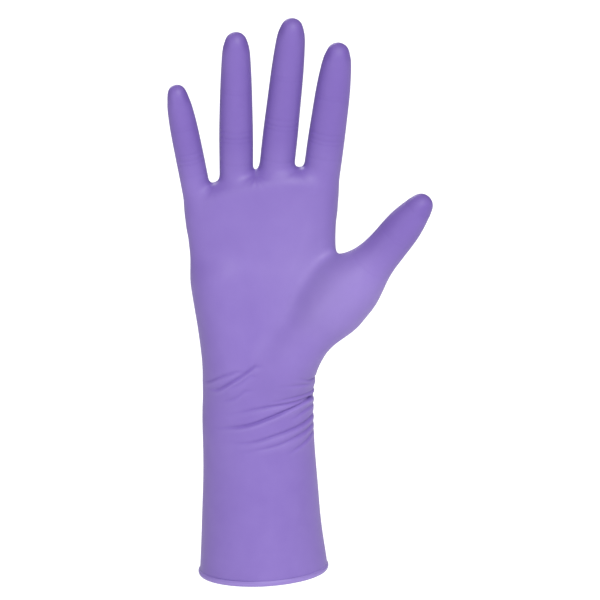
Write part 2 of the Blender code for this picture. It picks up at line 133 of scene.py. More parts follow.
# Wrist wrinkles: points (turn in degrees from the thumb's side towards the palm, height in mm
# above the wrist line), then depth and half width in mm
WRIST_WRINKLES = (
    (((0, 8.5), (24, 9.0), (40, 9.5), (54, 12.0)), 0.75, 0.8),
    (((0, 7.0), (29, 7.0), (46, 7.5), (73, 8.5)), 0.45, 0.8),
    (((3, 2.0), (26, 1.5), (55, 0.5), (83, -1.0)), 0.55, 0.85),
    (((8, -3.0), (31, -1.5), (61, -2.5), (93, -4.0), (124, -7.0)), 0.75, 0.95),
    (((18, -1.5), (48, -4.5), (75, -8.5), (101, -12.5), (140, -14.5)), 1.05, 0.9),
    (((11, -7.0), (28, -7.5), (57, -11.5)), 0.45, 0.85),
    (((13, -12.5), (46, -16.0), (74, -19.0), (101, -22.0), (124, -21.5)), 0.8, 0.95),
    (((15, -17.5), (47, -21.0), (74, -24.5), (108, -27.0)), 0.6, 0.95),
    (((16, -22.0), (35, -25.0), (66, -30.0)), 0.5, 0.9),
    (((92, 19.5), (111, 12.5), (131, 7.0), (144, 6.5)), 0.75, 0.9),
    (((110, 17.0), (125, 14.5), (137, 12.0), (156, 9.5)), 0.5, 0.85),
    (((97, 14.5), (107, 10.5), (119, 7.5)), 0.3, 0.85),
    (((102, 6.5), (112, 2.5), (124, 0.5)), 0.35, 0.9),
)
WRAP = 32.0  # degrees over which the wrinkles die out round the back

# Finger creases beside a fold: offset along the finger, depth and half width in mm
MIDDLE_CREASES = ((-2.6, 0.17, 0.5), (-0.2, 0.2, 0.5), (3.0, 0.16, 0.5))
TIP_CREASES = ((-0.6, 0.1, 0.5), (1.4, 0.07, 0.5))
ROOT_CREASES = ((0.0, 0.1, 0.7),)

# Fingertip and nail: a shoulder's depth, distance from the tip and reach; a nail's distance from
# the tip, its half length, and its half width as a share of the digit's
SHOULDER = (0.6 * MM, 5.5 * MM, 4 * MM)
NAIL = (9.5 * MM, 6.5 * MM, 0.66)

# Pulls below a web: share of full depth at each web, how many fan out, and their reach
WEB_SHARES = (0.45, 1.0, 0.35)
WEB_PULLS = 9
WEB_REACH = 5.5 * MM

SLACK = 0.16 * MM  # height of the slow unevenness of the cuff

# Middle of the palm's pool of painted light, where the film is also stretched thin, placed from the
# wrist line, and the reach of its bell
PALM_MIDDLE = (40 * MM, 62 * MM)
PALM_REACH = (36 * MM, 34 * MM)

# Tone, from deep to pale: at rest, and how far each place pulls it. It is painted shade and light:
# painted shade on the digits and in the webs' hollows, and painted light over the middle of the palm,
# where the film is also stretched thin
SLACK_TONE = -1.2
# painted light over the middle of the palm, where the film is also stretched thin
PALM_LIGHT_AND_STRETCH = 2.6
# painted shade on the digits, deeper from each root up over 22 mm
DIGIT_SHADE = 1.2
# painted shade in the hollow at the bottom of each web
WEB_SHADE = 1.1
# painted shade and painted highlight: sunken relief makes the colour deeper and raised relief paler,
# so wrinkle valleys, creases and tip shoulders are painted darker, and the swells below the wrist
# wrinkles and the nails paler
SHADE_DEPTH = 0.4 * MM  # relief that counts as much as one step of tone
TONE_SHARE = 0.16  # of the colour ramp, for one step

FILM_COLOUR = (0.229, 0.156, 0.465)
# deep end of the colour ramp: painted shade in valleys, webs and digits, and the deeper clouds of the
# film
DEEP_AND_SHADE_COLOUR = (0.165, 0.10, 0.385)
# pale end of the colour ramp: painted light on the palm, painted highlight on swells and nails, and
# film stretched thin
PALE_AND_LIT_COLOUR = (0.30, 0.225, 0.54)
FLOOR_COLOUR = (0.93, 0.93, 0.94)
FLOOR_REACH = 15.0

# Lights: name, share of the key light's strength, and turns in degrees
LIGHTS = (
    ("key_light", 1.0, (46, 0, 17)),
    ("side_light", 0.18, (72, 0, -38)),
    ("back_light", 0.4, (58, 0, 196)),
)
SOFTNESS = math.radians(30)  # angle across each light


# --- sizes and colours


class GloveFilm(bpy.types.PropertyGroup):
    """Sizes of the film and of its relief."""

    wall: bpy.props.FloatProperty(
        name="Wall", description="Thickness of the dipped film", default=WALL, unit="LENGTH"
    )
    wrinkles: bpy.props.FloatProperty(
        name="Wrist wrinkles", description="Share of the wrist wrinkles' full depth",
        default=1.0, min=0
    )
    creases: bpy.props.FloatProperty(
        name="Finger creases", description="Share of the finger creases' full depth",
        default=1.0, min=0
    )
    web_depth: bpy.props.FloatProperty(
        name="Web wrinkles", description="Depth of the pulls below a web",
        default=0.28 * MM, unit="LENGTH"
    )
    nail_height: bpy.props.FloatProperty(
        name="Nail", description="Height of a nail under the film", default=0.28 * MM, unit="LENGTH"
    )
    bead_wave: bpy.props.FloatProperty(
        name="Bead wave", description="How far the rolled hem wanders",
        default=0.12 * MM, unit="LENGTH"
    )
    fineness: bpy.props.IntProperty(
        name="Fineness", description="Grid steps along each side of a net face",
        default=8, min=2, max=12
    )


class GloveLook(bpy.types.PropertyGroup):
    """Colours and gloss of the film."""

    film: bpy.props.FloatVectorProperty(
        name="Film", description="Colour of the relaxed film", default=FILM_COLOUR, subtype="COLOR"
    )
    # colour of the painted shade, and of the film's deeper clouds
    deep_and_shade: bpy.props.FloatVectorProperty(
        name="Gathered film", description="Colour where film gathers",
        default=DEEP_AND_SHADE_COLOUR, subtype="COLOR"
    )
    # colour of the painted light and highlight, and of film stretched thin
    pale_and_lit: bpy.props.FloatVectorProperty(
        name="Stretched film", description="Colour where film is thin",
        default=PALE_AND_LIT_COLOUR, subtype="COLOR"
    )
    roughness: bpy.props.FloatProperty(
        name="Roughness", description="Middle roughness of the film", default=0.5, subtype="FACTOR"
    )
    grain: bpy.props.FloatProperty(
        name="Grain", description="Height of the film's fine grain",
        default=0.02 * MM, unit="LENGTH"
    )


class GloveStage(bpy.types.PropertyGroup):
    """Floor, light and camera."""

    floor: bpy.props.FloatVectorProperty(
        name="Floor", description="Colour of the floor", default=FLOOR_COLOUR, subtype="COLOR"
    )
    drop: bpy.props.FloatProperty(
        name="Drop", description="Height of the hem above the floor", default=0.3, unit="LENGTH"
    )
    key: bpy.props.FloatProperty(
        name="Key light", description="Strength of the soft light from the front", default=2.75
    )
    fill: bpy.props.FloatProperty(
        name="Fill light", description="Strength of the light from all round", default=0.12
    )
    distance: bpy.props.FloatProperty(
        name="Distance", description="Camera to glove", default=1.4, unit="LENGTH"
    )
    elevation: bpy.props.FloatProperty(
        name="Elevation", description="Camera's height angle",
        default=math.radians(12), unit="ROTATION"
    )
    roll: bpy.props.FloatProperty(
        name="Roll", description="Lean of the glove in the picture",
        default=math.radians(2.7), unit="ROTATION"
    )
    lens: bpy.props.FloatProperty(
        name="Lens", description="Focal length in millimetres", default=155.9
    )
    aim: bpy.props.FloatVectorProperty(
        name="Aim", description="Camera's aim, from the glove's middle",
        default=(-3.3 * MM, 0, -0.7 * MM), subtype="TRANSLATION", unit="LENGTH"
    )


# --- small tools


def unit(vector):
    return np.asarray(vector, float) / np.linalg.norm(vector)


def ramp(x, low, high):
    """Smooth step: 3t^2 - 2t^3 of the clamped share t of the way from low to high."""
    t = np.clip((x - low) / (high - low), 0, 1)
    return t * t * (3 - 2 * t)


def smooth_min(a, b, reach):
    """Lower of two fields, less (reach - |a - b|)^2 / (4 reach) where they are closer than reach."""
    near = np.maximum(reach - np.abs(a - b), 0) / reach
    return np.minimum(a, b) - near * near * reach / 4


def through(x, xs, ys):
    """Smooth line through stations: cubic pieces that share their slope at each station."""
    xs, ys = np.asarray(xs, float), np.asarray(ys, float)
    slopes = np.gradient(ys, xs)
    i = np.clip(np.searchsorted(xs, x) - 1, 0, len(xs) - 2)
    step = xs[i + 1] - xs[i]
    t = np.clip((x - xs[i]) / step, 0, 1)
    ends = ys[i] * (1 + 2 * t) * (1 - t) ** 2 + ys[i + 1] * (3 - 2 * t) * t**2
    return ends + step * (slopes[i] * t * (1 - t) ** 2 - slopes[i + 1] * (1 - t) * t**2)


def oval(u, v, half_u, half_v, power=2.0, w=0.0, half_w=1.0):
    """Distance from |u/half_u|^p + |v/half_v|^p + |w|^p = 1: the value over its slope."""
    tiny = 1e-3
    u, v = np.abs(u) / half_u + tiny, np.abs(v) / half_v + tiny
    size = (u**power + v**power + w**power) ** (1 / power)
    rise = np.sqrt(
        (u ** (power - 1) / half_u) ** 2
        + (v ** (power - 1) / half_v) ** 2
        + (w ** (power - 1) / half_w) ** 2
    )
    return (size - 1) / (rise * size ** (1 - power))


def joint(name):
    """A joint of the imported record."""
    return next(j for j in frame["joints"] if j["name"] == name)


def points_of(*nodes):
    """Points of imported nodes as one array."""
    arrays = []
    for node in nodes:
        vertices = frame["nodes"][node].data.vertices
        flat = np.empty(3 * len(vertices))
        vertices.foreach_get("co", flat)
        arrays.append(flat.reshape(-1, 3))
    return np.vstack(arrays)


def fitted(residual, sizes, rounds=6):
    """Sizes for which the residual is smallest: Gauss-Newton steps with numeric slopes."""
    sizes = np.array(sizes, float)
    step = 0.01 * MM
    for _ in range(rounds):
        base = residual(sizes)
        slopes = [(residual(sizes + step * way) - base) / step for way in np.eye(len(sizes))]
        sizes = sizes - np.linalg.lstsq(np.transpose(slopes), base, rcond=None)[0]
    return sizes


# --- the film's field


class Digit:
    """A finger or the thumb: a straight axis, and an oval section that tapers to a round nose."""

    BURIED = 22 * MM  # how far the digit carries on inside the palm
    NOSE = 0.62  # length of the nose, as a share of the tip's width
    START_SIZES = (9 * MM, 8 * MM, 7 * MM)

    def __init__(self, name, root_fold):
        zones = THUMB_ZONES if name == "thumb" else FINGER_ZONES
        self.name, self.zones = name, zones
        last, first = points_of(f"{name}_tip"), points_of(f"{name}_proximal")
        self.hinge = unit(joint(f"{name}_tip_fold")["axis"])
        run = last.mean(axis=0) - first.mean(axis=0)
        for _ in range(4):
            self.axis = unit(run - (run @ self.hinge) * self.hinge)
            self.pad = np.cross(self.hinge, self.axis)
            along = last @ self.axis
            tip = last[along.argmax()]
            rim = last[along < along.min() + 1.5 * MM]
            spans = [rim @ way for way in (self.hinge, self.pad)]
            middles = [span.min() / 2 + span.max() / 2 for span in spans]
            run = tip - middles[0] * self.hinge - middles[1] * self.pad - along.min() * self.axis
        self.side = unit(np.array((1, 0, 0)) - self.axis[0] * self.axis)
        self.back = np.cross(self.axis, self.side)
        crease = np.array(joint(f"{name}_root_fold")["pos_m"])
        self.length = (tip - crease) @ self.axis + root_fold
        self.root = tip - self.length * self.axis
        self.folds = {}
        names = ("root", "middle", "tip") if len(zones) == 3 else ("root", "tip")
        for zone, fold in zip(zones, names):
            place = np.array(joint(f"{name}_{fold}_fold")["pos_m"])
            self.folds[zone] = (place - self.root) @ self.axis
        self.size(self.START_SIZES)
        surface = points_of(*(f"{name}_{zone}" for zone in zones[1:]))
        self.size(fitted(lambda sizes: self.size(sizes).field(surface) + WALL / 2, self.START_SIZES))

    def size(self, sizes):
        """Takes the half width and half depth at the root, and the half width of the tip."""
        self.half_width, self.half_depth, self.half_tip = sizes
        self.nose = self.length - 2 * self.NOSE * self.half_tip
        return self

    def at(self, height):
        """Point of the axis at a height above the root."""
        return self.root + np.multiply.outer(height, self.axis)

    def halves(self, height):
        """Half width and half depth of the section at a height."""
        stations = (0, 0.35 * self.length, 0.65 * self.length, self.nose)
        taper = through(height, stations, (1, 0.93, 0.62, 0))
        half_u = self.half_tip + (self.half_width - self.half_tip) * taper
        half_v = self.half_tip * 0.92 + (self.half_depth - self.half_tip * 0.92) * taper
        return half_u, half_v

    def local(self, points):
        """Offset along the hinge, offset towards the pad, and height above the root."""
        away = points - self.root
        return away @ self.hinge, away @ self.pad, away @ self.axis

    def field(self, points):
        """Distance from the digit's surface, negative inside it."""
        across, ahead, height = self.local(points)
        half_u, half_v = self.halves(height)
        nose_length = self.length - self.nose
        over = np.maximum(height - self.nose, 0) / nose_length
        under = np.maximum(-height - self.BURIED, 0) / nose_length
        return oval(across, ahead, half_u, half_v, 2.0, over + under, nose_length)


class Trunk:
    """Cuff and palm: a loft through oval sections, capped at the webs, with two pads."""

    def __init__(self, digits):
        self.wrist = np.array(joint("wrist_flex")["pos_m"])
        roots = np.array([digit.root for digit in digits])
        halves = np.array([digit.half_width for digit in digits])
        self.top = roots[:, 2].max()
        left, right = roots[:, 0] - halves, roots[:, 0] + halves
        self.webs = np.concatenate((left[:1], (right[:-1] + left[1:]) / 2, right[-1:]))
        drops = self.top - roots[:, 2]
        self.drops = np.maximum(drops[:-1], drops[1:])
        self.palm_x = (self.webs[0] + self.webs[-1]) / 2
        hem, wrist, palm = (self.half_box(node) for node in ("cuff_bead", "wrist_folds", "palm"))
        row = (self.webs[-1] - self.webs[0]) / 2
        self.sizes = np.array((*hem, *wrist, row, palm[1] / 2))
        cad = points_of("cuff", "wrist_folds")
        palm_points = points_of("palm")
        x, _, z = palm_points.T
        clear = palm_points[(x < self.palm_x) & (z < self.top - 15 * MM)]
        surface = np.vstack((cad, clear))
        self.sizes = fitted(lambda sizes: self.take(sizes).field(surface) + WALL / 2, self.sizes)
        self.take(self.sizes)

    @staticmethod
    def half_box(node):
        low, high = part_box(node)
        return (high.x - low.x) / 2, (high.y - low.y) / 2

    def take(self, sizes):
        """Takes half width and half depth of hem, wrist and palm, and sets the stations."""
        self.sizes = sizes
        hem_width, hem_depth, wrist_width, wrist_depth, palm_width, palm_depth = sizes
        wrist, tall = self.wrist[2], self.top - self.wrist[2]
        flare, start = hem_width - wrist_width, self.wrist[0]
        drift = self.palm_x - start
        self.stations = np.transpose(
            (
                (0, 0, hem_width, hem_depth, 2.0),
                (0.35 * wrist, 0.2 * start, wrist_width + 0.45 * flare, 0.92 * hem_depth, 2.0),
                (0.7 * wrist, 0.4 * start, wrist_width + 0.1 * flare, 1.12 * wrist_depth, 2.0),
                (wrist, start, wrist_width, wrist_depth, 2.1),
                (wrist + 0.14 * tall, start + 0.2 * drift, 0.99 * wrist_width, 0.9 * wrist_depth, 2.1),
                (wrist + 0.3 * tall, start + 0.55 * drift, 0.8 * palm_width, 1.18 * palm_depth, 2.2),
                (wrist + 0.5 * tall, start + 0.76 * drift, 0.91 * palm_width, 1.06 * palm_depth, 2.4),
                (wrist + 0.75 * tall, start + 0.9 * drift, 0.98 * palm_width, palm_depth, 2.6),
                (wrist + tall, self.palm_x, palm_width, palm_depth, 2.6),
            )
        )
        return self

    def section(self, z):
        """Middle, half width, half depth and squareness of the section at a height."""
        return [through(z, self.stations[0], row) for row in self.stations[1:]]

    def web_line(self, x):
        """Height of the palm's upper edge, which dips from web to web."""
        drops = (self.drops[0] + END_DROP, *self.drops, self.drops[-1] + END_DROP)
        return self.top - through(x, self.webs, drops)

    def capsule(self, points, ends, radius):
        """Distance from a rod with round ends, placed from the wrist line."""
        start, end = (np.array(p) + (0, 0, self.wrist[2]) for p in ends)
        run = end - start
        share = np.clip((points - start) @ run / (run @ run), 0, 1)
        return np.linalg.norm(points - start - share[:, None] * run, axis=1) - radius

    def field(self, points):
        """Distance from cuff and palm, without the digits."""
        x, y, z = points.T
        middle, half_width, half_depth, power = self.section(z)
        loft = oval(x - middle, y, half_width, half_depth, power)
        capped = -smooth_min(-loft, self.web_line(x) - z, CAP_BLEND)
        heel = self.capsule(points, HEEL_PAD, HEEL_RADIUS)
        ball = self.capsule(points, THENAR_PAD, THENAR_RADIUS)
        return smooth_min(smooth_min(capped, heel, PAD_BLEND), ball, PAD_BLEND)


DIGITS = [Digit(name, FINGER_ROOT_FOLD) for name in FINGERS]
THUMB = Digit("thumb", THUMB_ROOT_FOLD)
HAND = Trunk(DIGITS)
LIMBS = {i + 1: digit for i, digit in enumerate((*DIGITS, THUMB))}  # by limb number


def limb_of(digit):
    return next(limb for limb, other in LIMBS.items() if other is digit)


def film(points):
    """Distance from the glove's outer surface: palm and digits, each blended into the next."""
    field = HAND.field(points)
    for digit in DIGITS:
        field = smooth_min(field, digit.field(points), WEB_BLEND)
    return smooth_min(field, THUMB.field(points), THUMB_BLEND)


def onto_film(points, rounds=5):
    """Newton steps along the field's slope until the points lie on the film."""
    reach = 0.02 * MM
    for _ in range(rounds):
        value = film(points)
        way = np.stack([film(points + s) - value for s in reach * np.eye(3)], axis=1) / reach
        points = points - (value / (way**2).sum(axis=1))[:, None] * way
    return points


def out_to(field, starts, ways, far):
    """Points where rays from inside leave the surface, found by halving the interval."""
    near, far = np.zeros(len(starts)), np.full(len(starts), far)
    for _ in range(28):
        middle = (near + far) / 2
        inside = field(starts + middle[:, None] * ways) < 0
        near, far = np.where(inside, middle, near), np.where(inside, far, middle)
    return starts + near[:, None] * ways


# --- the net


class Net:
    """Points, four-sided faces and the limb of each face."""

    def __init__(self):
        self.points, self.quads, self.limbs = np.zeros((0, 3)), [], []

    def add(self, points):
        """Adds points and returns their numbers."""
        first = len(self.points)
        self.points = np.vstack((self.points, points))
        return np.arange(first, len(self.points))

    def faces(self, quads, limb):
        self.quads.append(quads)
        self.limbs.append(np.full(len(quads), limb))

    def band(self, low, high, limb, keep=slice(None)):
        """Faces between two rows that close on themselves."""
        quads = np.stack((low, np.roll(low, -1), np.roll(high, -1), high), axis=1)
        self.faces(quads[keep], limb)

    def grid(self, numbers, limb):
        """Faces of a grid of point numbers."""
        a, b, c, d = numbers[:-1, :-1], numbers[:-1, 1:], numbers[1:, 1:], numbers[1:, :-1]
        self.faces(np.stack((a, b, c, d), axis=-1).reshape(-1, 4), limb)

    def settle(self, fixed):
        """Moves each point half way to the mean of its neighbours and back on the film, 8 times."""
        quads = np.vstack(self.quads)
        pairs = np.vstack([quads[:, [i, (i + 1) % 4]] for i in range(4)])
        a, b = np.unique(np.sort(pairs, axis=1), axis=0).T
        count = np.maximum(np.bincount(np.concatenate((a, b)), minlength=len(self.points)), 1)
        free = np.bincount(quads.ravel(), minlength=len(self.points)) > 0
        free[fixed] = False
        self.points[free] = onto_film(self.points[free])
        for _ in range(8):
            total = np.zeros_like(self.points)
            np.add.at(total, a, self.points[b])
            np.add.at(total, b, self.points[a])
            moved = self.points + 0.5 * (total / count[:, None] - self.points)
            self.points[free] = onto_film(moved[free], 3)


def column_ways():
    """Directions of the columns around a section, from the little finger's front corner."""
    inset = CORNER_INSET * (HAND.webs[-1] - HAND.webs[0])
    valleys = (HAND.webs[0] + inset, *HAND.webs[1:-1], HAND.webs[-1] - inset)
    front = np.interp(np.arange(FINGER_COLUMNS + 1) / FRONT, range(5), valleys)
    angles = -np.arccos((front - HAND.palm_x) / (HAND.sizes[4] * COLUMN_MARGIN))
    thumb_side = np.linspace(angles[-1], -angles[-1], OVER + 1)[1:-1]
    little_side = np.linspace(-angles[0], 2 * math.pi + angles[0], OVER + 1)[1:-1]
    around = np.concatenate((angles, thumb_side, -angles[::-1], little_side))
    return np.cos(around), np.sin(around)


def trunk_rows(net):
    """Rows of the cuff and palm, from inside the hem's bead to the web line, closer at the wrist."""
    cos, sin = column_ways()
    low = (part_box("cuff_bead")[0].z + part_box("cuff_bead")[1].z) / 2
    web_line = HAND.web_line(HAND.palm_x + HAND.sizes[4] * cos)
    sag = np.maximum(HAND.top - web_line + END_DROP, 0)
    spots = np.linspace(0, 1, 600)
    heights = low + spots * (HAND.top - low) - HAND.wrist[2]
    dense = 1 + CLOSER * ramp(heights, *CLOSE_ROWS[:2]) * (1 - ramp(heights, *CLOSE_ROWS[2:]))
    share_of = np.cumsum(dense) / dense.sum()
    count = round((HAND.top - low) / ROW * dense.mean())
    rows = []
    for share in np.interp(np.linspace(share_of[0], 1, count + 1), share_of, spots):
        z = low + share * (HAND.top - low) - sag * max(0, 2.2 * share - 1.2) ** 1.5
        middle, half_width, half_depth, _ = HAND.section(z)
        ways = np.transpose((half_width * cos, half_depth * sin, 0 * z))
        ways /= np.linalg.norm(ways, axis=1)[:, None]
        starts = np.transpose((middle, 0 * z, z))
        rows.append(net.add(out_to(HAND.field, starts, ways, 3 * HAND.sizes[0])))
    return rows


def cap(net, digit, ring, across, up, angles, limb):
    """Closes a digit's nose with a grid: the share r from its middle tilts a ray from the axis."""
    numbers = np.zeros((up + 1, across + 1), int)
    numbers[0], numbers[:, -1] = ring[: across + 1], ring[across : across + up + 1]
    numbers[-1, ::-1] = ring[across + up : 2 * across + up + 1]
    numbers[::-1, 0] = (*ring[2 * across + up :], ring[0])
    i, j = (a.ravel() for a in np.mgrid[1:up, 1:across])
    s, t = 2 * j / across - 1, 2 * i / up - 1
    r = np.maximum(np.maximum(np.abs(s), np.abs(t)), 1e-9)
    s, t = s / r, t / r
    low, right, high = t <= np.minimum(-np.abs(s), -1 + 1e-9), s >= 1 - 1e-9, t >= 1 - 1e-9
    place = np.select(
        (low, right, high),
        (across * (s + 1) / 2, across + up * (t + 1) / 2, across + up + across * (1 - s) / 2),
        2 * across + up + up * (1 - t) / 2,
    )
    turn = angles[0] + place * 2 * math.pi / len(ring)
    tilt = math.pi / 2 - (math.pi / 2 - NOSE_TILT) * r
    radial = np.outer(np.cos(turn), digit.side) + np.outer(np.sin(turn), digit.back)
    ways = np.cos(tilt)[:, None] * radial + np.sin(tilt)[:, None] * digit.axis
    starts = np.tile(digit.at(digit.nose), (len(ways), 1))
    numbers[i, j] = net.add(out_to(film, starts, ways, 2 * digit.half_width))
    net.grid(numbers, limb)


def digit_rows(net, digit, first, start_angle, lowest, blends, limb, across, up):
    """Rows of a digit from its root loop to its nose, and the cap."""
    angles = start_angle + np.arange(len(first)) * 2 * math.pi / len(first)
    radial = np.outer(np.cos(angles), digit.side) + np.outer(np.sin(angles), digit.back)

    def ring(height, tilt=0.0):
        starts = np.tile(digit.at(height), (len(first), 1))
        ways = math.cos(tilt) * radial + math.sin(tilt) * digit.axis
        return out_to(film, starts, ways, 2 * digit.half_width)

    rows = [first]
    base, above = net.points[first], ring(lowest)
    for share in np.arange(1, blends + 1) / (blends + 1):
        rows.append(net.add(onto_film(base + share * (above - base))))
    count = round((digit.nose - lowest) / ROW)
    for height in np.linspace(lowest, digit.nose, count + 1):
        rows.append(net.add(ring(height)))
    rows.append(net.add(ring(digit.nose, NOSE_TILT)))
    for low, high in zip(rows, rows[1:]):
        net.band(low, high, limb)
    cap(net, digit, rows[-1], across, up, angles, limb)


def make_net():
    """The whole film as one net, open at the hem."""
    net = Net()
    trunk = trunk_rows(net)
    top = trunk[-1]
    side = FINGER_COLUMNS - THUMB_ACROSS // 2
    hole = np.isin(np.arange(COLUMNS), np.arange(side, side + THUMB_ACROSS))
    heights = net.points[[row[FINGER_COLUMNS] for row in trunk], 2]
    low = np.abs(heights - (THUMB.root[2] - HOLE_DROP)).argmin()
    high = low + THUMB_UP
    for i in range(len(trunk) - 1):
        net.band(trunk[i], trunk[i + 1], TRUNK, ~hole if low <= i < high else slice(None))

    back = 2 * FINGER_COLUMNS + OVER
    lines = [top[np.concatenate(([0], np.arange(COLUMNS - 1, back - 1, -1)))]]
    share = np.arange(1, OVER)[:, None] / OVER
    for i in range(1, len(FINGERS)):
        front, rear = top[i * FRONT], top[back - i * FRONT]
        saddle = net.points[front] + share * (net.points[rear] - net.points[front])
        saddle[:, 2] += SADDLE_RISE * np.sin(math.pi * share[:, 0])
        lines.append(np.concatenate(([front], net.add(onto_film(saddle)), [rear])))
    lines.append(top[FINGER_COLUMNS : FINGER_COLUMNS + OVER + 1])
    for i, digit in enumerate(DIGITS):
        front = top[i * FRONT : (i + 1) * FRONT]
        rear = top[back - (i + 1) * FRONT : back - i * FRONT]
        loop = np.concatenate((front, lines[i + 1][:-1], rear, lines[i][:0:-1]))
        turn = -0.75 * math.pi
        digit_rows(net, digit, loop, turn, FINGER_FIRST_RING, 1, i + 1, FRONT, OVER)

    first, last = side, side + THUMB_ACROSS
    rise, fall = range(low, high), range(high, low, -1)
    loop = (*trunk[low][first:last], *(trunk[i][last] for i in rise))
    loop = np.array((*loop, *trunk[high][last:first:-1], *(trunk[i][first] for i in fall)))
    start = -math.pi * THUMB_ACROSS / len(loop)
    lowest = THUMB_ROOT_FOLD + THUMB_RISE
    digit_rows(net, THUMB, loop, start, lowest, 3, THUMB_LIMB, THUMB_ACROSS, THUMB_UP)
    net.settle(trunk[0])
    return net


# --- relief


def wrist_relief(points):
    """Wrist wrinkles: across each line a bell-shaped valley, with a lower swell below it."""
    wrist_x, half_width, half_depth = HAND.wrist[0], HAND.sizes[2], HAND.sizes[3]
    turn = np.degrees(np.arctan2(-points[:, 1] / half_depth, (points[:, 0] - wrist_x) / half_width))
    height = points[:, 2] - HAND.wrist[2]
    total = np.zeros(len(points))
    for stations, depth, width in WRIST_WRINKLES:
        turns, heights = np.transpose(stations)
        across = (height / MM - through(turn, turns, heights)) / width
        length = turns[-1] - turns[0]
        near = ramp(turn, turns[0] - (WRAP if turns[0] < 20 else 12), turns[0] + 0.1 * length)
        far = 1 - ramp(turn, turns[-1] - 0.45 * length, turns[-1] + 6)
        valley, swell = np.exp(-(across**2)), np.exp(-(((across + 2.0) / 1.5) ** 2))
        total += depth * MM * near * far * (0.5 * swell - valley)
    return total


def digit_relief(digit, points, film_sizes):
    """Creases across a digit's pad beside its folds, and a nail and knuckle lines on its back."""
    across, ahead, height = digit.local(points)
    half_u, half_v = digit.halves(np.maximum(height, 0))
    u, v = across / half_u, ahead / half_v
    pad_side, back_side = ramp(v, 0.05, 0.6), ramp(-v, 0.25, 0.7)
    total = np.zeros(len(points))
    kinds = {"root": ROOT_CREASES, "middle": MIDDLE_CREASES, "tip": TIP_CREASES}
    for zone, fold in digit.folds.items():
        kind = {"proximal": "root", "tip": "tip"}.get(zone, "middle")
        for offset, depth, width in kinds[kind]:
            line = fold + offset * MM + 0.5 * MM * u**2
            bell = np.exp(-(((height - line) / (width * MM)) ** 2))
            total -= film_sizes.creases * depth * MM * pad_side * bell
            knuckle = fold + 1.6 * offset * MM - 0.8 * MM * u**2
            bell = np.exp(-(((height - knuckle) / (1.4 * width * MM)) ** 2))
            total -= 0.8 * depth * MM * back_side * bell * (zone != "proximal")
    depth, below, reach = SHOULDER
    bell = np.exp(-(((height - digit.length + below) / reach) ** 2))
    total -= depth * ramp(np.abs(u), 0.3, 0.95) * bell
    below, half_length, half_width = NAIL
    along = (height - digit.length + below) / half_length
    nail = ((u / half_width) ** 4 + along**4) ** 0.25
    total += film_sizes.nail_height * back_side * (1 - ramp(nail, 0.82, 1.12))
    return total


def web_relief(points, film_sizes):
    """Pulls that fan out below each web: a cosine of the angle round it, fading with distance."""
    total = np.zeros(len(points))
    for i, x in enumerate(HAND.webs[1:-1]):
        z = HAND.top - HAND.drops[i] - 1.0 * MM
        away_x, away_z = points[:, 0] - x, points[:, 2] - z
        r = np.hypot(away_x, away_z)
        angle = np.arctan2(away_x, -away_z)
        fan = 0.5 + 0.5 * np.cos(WEB_PULLS * angle + 0.6)
        fade = np.exp(-((r / WEB_REACH) ** 2)) * ramp(r, 0.4 * MM, 2.2 * MM)
        fade *= ramp(-away_z, -1.5 * MM, 1.5 * MM)
        total -= film_sizes.web_depth * WEB_SHARES[i] * fan * fade
    return total


def near_web(points):
    """Closeness to the bottom of a web: a bell round each, used to paint shade into the web's hollow.
    """
    total = np.zeros(len(points))
    for x, drop in zip(HAND.webs[1:-1], HAND.drops):
        away = np.hypot(points[:, 0] - x, points[:, 2] - HAND.top + drop)
        total += np.exp(-((away / (4 * MM)) ** 2))
    return total


def slack_relief(points):
    """Slow unevenness of worn film: three crossed waves, strongest on the cuff."""
    x, y, z = points.T / MM
    waves = np.sin(0.11 * z + 0.05 * x) + 0.7 * np.sin(0.19 * x - 0.07 * z + 1.3)
    waves += 0.5 * np.sin(0.16 * y + 0.13 * z + 2.1)
    return SLACK * waves * (1 - 0.6 * ramp(points[:, 2], HAND.wrist[2], HAND.top))


def palm_light_and_stretch(points):
    """How far worn film is stretched over the palm, together with painted light there: a bell round
    the middle of the palm, on its front.
    """
    x = (points[:, 0] - PALM_MIDDLE[0]) / PALM_REACH[0]
    z = (points[:, 2] - HAND.wrist[2] - PALM_MIDDLE[1]) / PALM_REACH[1]
    return np.exp(-(x**2) - z**2) * ramp(-points[:, 1], -4 * MM, 8 * MM)


# --- the fine skin


